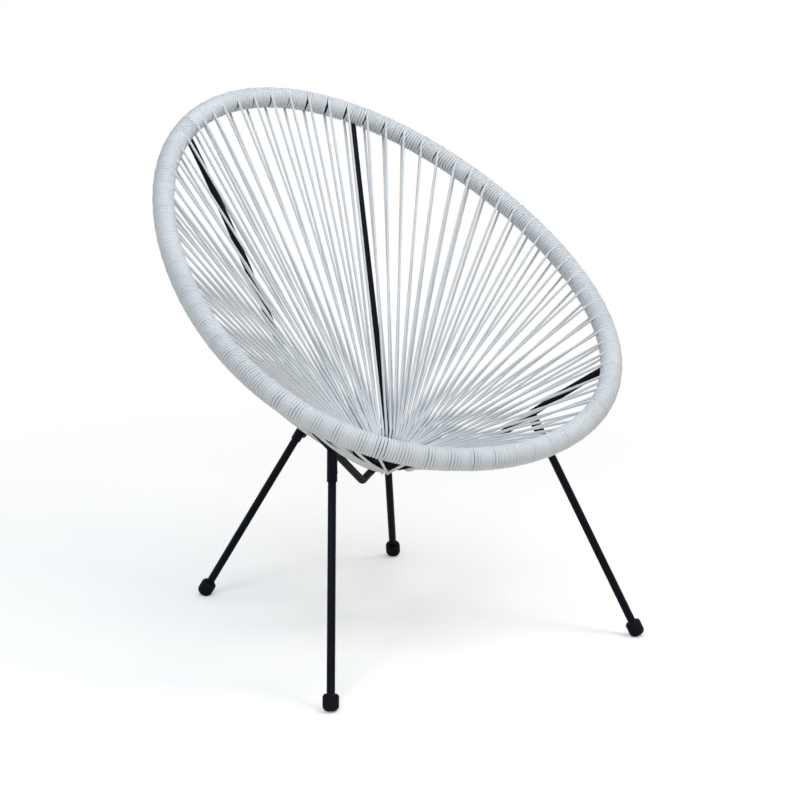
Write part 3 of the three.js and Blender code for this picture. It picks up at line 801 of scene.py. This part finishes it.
# Ribs, legs, sockets, screws and caps

def rib_path(rib):
    """Middle line of a rib: a curve from the hoop to the socket's seat, a straight run, a round
    bend and a straight arm to the hub's underside."""
    station, seat, bend = rib["station"], rib["seat"], rib["bend"]
    start = hoop_place(station)[0] - RIB_HOOP_DROP * HOOP_UP
    before, after = hub_angle(math.floor(station)), hub_angle(math.ceil(station))
    hub = hub_place(before + rib["arm_share"] * (after - before))[0] - RIB_HUB_DROP * HUB_UP
    into_bend, out_of_bend = unit(bend - seat), unit(hub - bend)
    bow = seat - rib["bow"] * into_bend + rib["belly"]
    upper = drawn_curve(start, bow, seat, np.linspace(0, 1, RIB_STEPS)[:, None])
    setback = RIB_BEND_RADIUS * math.tan(math.acos(float(into_bend @ out_of_bend)) / 2)
    bent = drawn_curve(
        bend - setback * into_bend, bend, bend + setback * out_of_bend,
        np.linspace(0, 1, RIB_BEND_STEPS)[:, None],
    )
    return np.concatenate([upper, bent, hub[None]])


def cap_profile():
    """Section of a foot cap: a rounded sole, a straight side and a shoulder to its mouth."""
    radius, mouth = CAP_DIAMETER / 2, CAP_MOUTH_DIAMETER / 2
    turn = np.linspace(0, np.pi / 2, CAP_SOLE_STEPS)
    sole = np.stack([
        radius - CAP_ROUNDING + CAP_ROUNDING * np.sin(turn),
        CAP_ROUNDING - CAP_ROUNDING * np.cos(turn),
    ], axis=-1)
    bottom = CAP_HEIGHT - CAP_MOUTH_DEPTH
    top = rounded_profile([
        sole[-1], [radius, CAP_HEIGHT - CAP_SHOULDER], [mouth, CAP_HEIGHT],
        [socket_bore, CAP_HEIGHT], [socket_bore, bottom],
    ], CAP_EDGE)
    return np.concatenate([[[POLE, 0]], sole, top[1:], [[POLE, bottom]]])


def screw_profile():
    """Section of a screw from its tip, with a stepped round head and the hole for its key."""
    shank, head, key = SCREW_DIAMETER / 2, SCREW_HEAD_DIAMETER / 2, SCREW_KEY_WIDTH / 2
    face = socket_radius + FIT_GAP
    top = face + SCREW_HEAD_HEIGHT
    return rounded_profile([
        [POLE, face - SCREW_LENGTH], [shank, face - SCREW_LENGTH], [shank, face], [head, face],
        [head, face + SCREW_HEAD_HEIGHT / 3],
        [head * SCREW_SHOULDER_SHARE, top - SCREW_HEAD_DROP], [head * SCREW_CROWN_SHARE, top],
        [key, top], [key, top - SCREW_KEY_DEPTH], [POLE, top - SCREW_KEY_DEPTH],
    ], SCREW_EDGE, 3)


def hex_key(radius, turn):
    """Rows of a screw's profile that lie inside the key's width take a hexagon's outline: the
    flat's distance over the cosine of the angle from the middle of that flat."""
    flat = SCREW_KEY_WIDTH / 2
    hexagon = flat / np.cos(turn % (np.pi / 3) - np.pi / 6)
    return np.where(radius < flat * SCREW_KEY_MARGIN, radius / flat * hexagon, radius)


def add_leg(end, hand, seat, foot):
    """One leg with its socket, screw and cap, along the line from the foot to the seat."""
    axis = unit(seat - foot)
    length = float(np.linalg.norm(seat - foot))
    slope = math.acos(float(axis[2]))
    mouth, plugged = length - SOCKET_LENGTH, length - SOCKET_LENGTH + SOCKET_GRIP

    cap = cap_profile()
    lowest = float(np.min(cap[:, 1] * math.cos(slope) - cap[:, 0] * math.sin(slope)))
    cap_base = (-lowest - CAP_FLAT_DEPTH) / math.cos(slope)
    turned_piece(
        f"cap_{end}_{hand}", cap, foot + cap_base * axis, axis, CAP_SIDES, cap_rubber,
        [f"foot_cap_{end}_{hand}"],
    )

    low = cap_base + CAP_FLOOR
    tube = rounded_profile(
        [[POLE, low], [leg_radius, low], [leg_radius, plugged], [POLE, plugged]], LEG_EDGE,
    )
    turned_piece(
        f"tube_{end}_{hand}", tube, foot, axis, LEG_SIDES, steel_coat,
        [f"leg_{end}_{hand}"],
    )

    sleeve = rounded_profile([
        [POLE, plugged], [socket_bore, plugged], [socket_bore, mouth],
        [socket_radius, mouth], [socket_radius, length], [POLE, length],
    ], SOCKET_EDGE)
    turned_piece(
        f"sleeve_{end}_{hand}", sleeve, foot, axis, SOCKET_SIDES, steel_coat,
        [f"leg_socket_{end}_{hand}"],
    )

    to_middle = np.array([-seat[0], HUB_CENTRE[1] - seat[1], 0])
    turned_piece(
        f"screw_{end}_{hand}", screw_profile(), foot + (mouth + SCREW_UP) * axis,
        square_to(to_middle, axis), SCREW_SIDES, screw_zinc,
        [f"leg_screw_{end}_{hand}"], hex_key,
    )


def add_rib(end, hand, path):
    """One rib: a rod with a flat face at each end."""
    rings = section_rings(path, np.broadcast_to(RIB_START, path.shape), rib_radius, RIB_SIDES)
    mesh_piece(
        f"bent_rib_{end}_{hand}", rings, grid_faces(len(path), RIB_SIDES), steel_coat,
        [f"rib_{end}_{hand}"], end_faces(len(path), RIB_SIDES),
    )


def add_weld(end, hand, path):
    """The rippled bead of weld round a rib's end on the hub."""
    arm = unit(path[-2] - path[-1])
    ring_piece(
        f"weld_hub_{end}_{hand}", path[-1] + (hub_tube_radius - WELD_BEAD_SUNK) * arm, arm,
        rib_radius + WELD_BEAD_OUT, WELD_BEAD_RADIUS, WELD_STEPS, WELD_SIDES,
        ripples=WELD_RIPPLES,
    )


for end, rib in RIBS.items():
    for hand, mirror in (("right", np.array([1, 1, 1])), ("left", np.array([-1, 1, 1]))):
        path = rib_path(rib) * mirror
        add_rib(end, hand, path)
        add_leg(end, hand, rib["seat"] * mirror, rib["foot"] * mirror)
        add_weld(end, hand, path)


# Studio

# The photograph's camera, fitted to the rim and the feet
CAMERA_LENS, CAMERA_SENSOR = 110.87, 36.0  # millimetres
CAMERA_SHIFT = -0.0625
CAMERA_AZIMUTH = math.radians(-34.218)
CAMERA_ELEVATION = math.radians(14.651)
CAMERA_DISTANCE = 4.065791
CAMERA_TARGET = np.array([0.143944, 0, 0.34493])

FLOOR_REACH = 30.0
FLOOR_SHOWN_TO, FLOOR_GONE_FROM = 0.55, 1.5  # metres from the middle, between which it fades
FLOOR_LIFT = 0.32  # light added to the floor as the camera sees it
ROOM_LIGHT = 0.33
ROOM_TOP = 0.7  # sine of the height from which the room has its upper colour
LAMP_TARGET = np.array([0, 0, 0.4])
PLAIN_WHITE = (1, 1, 1, 1)

camera_data = bpy.data.cameras.new("camera")
camera_data.lens = CAMERA_LENS
camera_data.sensor_width = CAMERA_SENSOR
camera_data.shift_x = CAMERA_SHIFT
camera = bpy.data.objects.new("camera", camera_data)
bpy.context.scene.collection.objects.link(camera)
level_reach = math.cos(CAMERA_ELEVATION)
camera.location = CAMERA_TARGET + CAMERA_DISTANCE * np.array([
    math.sin(CAMERA_AZIMUTH) * level_reach, -math.cos(CAMERA_AZIMUTH) * level_reach,
    math.sin(CAMERA_ELEVATION),
])
camera.rotation_euler = (math.pi / 2 - CAMERA_ELEVATION, 0, CAMERA_AZIMUTH)
bpy.context.scene.camera = camera


def studio_white(name, paper_white, lift_white):
    """White paper floor: it keeps the shadow under the object, is lifted a little for the camera,
    and further out it turns to the plain white of the backdrop."""
    finish, tree = new_finish(name)
    place = add_node(tree, "ShaderNodeTexCoord").outputs["Object"]
    away = add_node(tree, "ShaderNodeVectorMath", {"operation": "LENGTH"}, {0: place})
    fade = add_node(
        tree, "ShaderNodeMapRange", {"interpolation_type": "SMOOTHSTEP"},
        {"Value": away.outputs["Value"]}, From_Min=FLOOR_SHOWN_TO, From_Max=FLOOR_GONE_FROM,
    )
    rays = add_node(tree, "ShaderNodeLightPath")
    shown = add_node(
        tree, "ShaderNodeMath", {"operation": "MAXIMUM"},
        {0: rays.outputs["Is Camera Ray"], 1: rays.outputs["Is Glossy Ray"]},
    )
    amount = add_node(
        tree, "ShaderNodeMath", {"operation": "MULTIPLY"},
        {0: fade.outputs["Result"], 1: shown.outputs[0]},
    )
    paper = add_node(tree, "ShaderNodeBsdfDiffuse", Color=linear(paper_white))
    lift = add_node(
        tree, "ShaderNodeMath", {"operation": "MULTIPLY"}, {0: rays.outputs["Is Camera Ray"]},
    )
    lift.inputs[1].default_value = FLOOR_LIFT
    lifted = add_node(
        tree, "ShaderNodeEmission", links={"Strength": lift.outputs[0]}, Color=linear(lift_white),
    )
    sheet = add_node(
        tree, "ShaderNodeAddShader", links={0: paper.outputs[0], 1: lifted.outputs[0]},
    )
    glow = add_node(tree, "ShaderNodeEmission", Color=PLAIN_WHITE, Strength=1.0)
    mixed = add_node(
        tree, "ShaderNodeMixShader",
        links={0: amount.outputs[0], 1: sheet.outputs[0], 2: glow.outputs[0]},
    )
    add_node(tree, "ShaderNodeOutputMaterial", links={"Surface": mixed.outputs[0]})
    return finish


floor_corners = np.array([[-1, -1, 0], [1, -1, 0], [1, 1, 0], [-1, 1, 0]]) * FLOOR_REACH
floor_mesh = bpy.data.meshes.new("floor")
floor_mesh.from_pydata(floor_corners.tolist(), [], [(0, 1, 2, 3)])
floor_white = studio_white("white_studio_floor", paper_white="fff9f0", lift_white="f3f6ff")
floor_mesh.materials.append(floor_white)
floor = bpy.data.objects.new("floor", floor_mesh)
bpy.context.scene.collection.objects.link(floor)

# The camera and reflections see plain white, and the chair is lit by a room a little warm below
# and cool above
world = bpy.data.worlds.new("studio")
bpy.context.scene.world = world
world.use_nodes = True
air = world.node_tree
air.nodes.clear()
rays = add_node(air, "ShaderNodeLightPath")
seen = add_node(
    air, "ShaderNodeMath", {"operation": "MAXIMUM"},
    {0: rays.outputs["Is Camera Ray"], 1: rays.outputs["Is Glossy Ray"]},
)
direction = add_node(air, "ShaderNodeTexCoord").outputs["Generated"]
upward = add_node(air, "ShaderNodeSeparateXYZ", links={"Vector": direction})
height = add_node(
    air, "ShaderNodeMapRange", links={"Value": upward.outputs["Z"]},
    From_Min=0.0, From_Max=ROOM_TOP,
)
sky = add_node(
    air, "ShaderNodeMixRGB", links={"Fac": height.outputs["Result"]},
    Color1=linear("fbf4e6"), Color2=linear("e4effa"),
)
room = add_node(
    air, "ShaderNodeBackground", links={"Color": sky.outputs["Color"]}, Strength=ROOM_LIGHT,
)
white = add_node(air, "ShaderNodeBackground", Color=PLAIN_WHITE, Strength=1.0)
either = add_node(
    air, "ShaderNodeMixShader",
    links={0: seen.outputs[0], 1: room.outputs[0], 2: white.outputs[0]},
)
add_node(air, "ShaderNodeOutputWorld", links={"Surface": either.outputs[0]})


def soft_light(name, place, size, watts, colour):
    """A square area lamp that faces the middle of the chair."""
    lamp = bpy.data.lights.new(name, "AREA")
    lamp.size, lamp.energy, lamp.color = size, watts, linear(colour)[:3]
    holder = bpy.data.objects.new(name, lamp)
    bpy.context.scene.collection.objects.link(holder)
    holder.location = place
    facing = unit(LAMP_TARGET - np.array(place))
    heading = math.atan2(facing[1], facing[0]) - math.pi / 2
    holder.rotation_euler = (math.acos(-facing[2]), 0, heading)


soft_light("key", (-2.0, -1.8, 3.2), size=1.4, watts=54, colour="e3f1fc")
soft_light("fill", (1.3, -1.5, 3.1), size=1.1, watts=33, colour="fff3e6")
soft_light("top", (0.5, -0.3, 3.6), size=1.8, watts=32, colour="e2f0fc")

bpy.context.scene.view_settings.view_transform = "Standard"
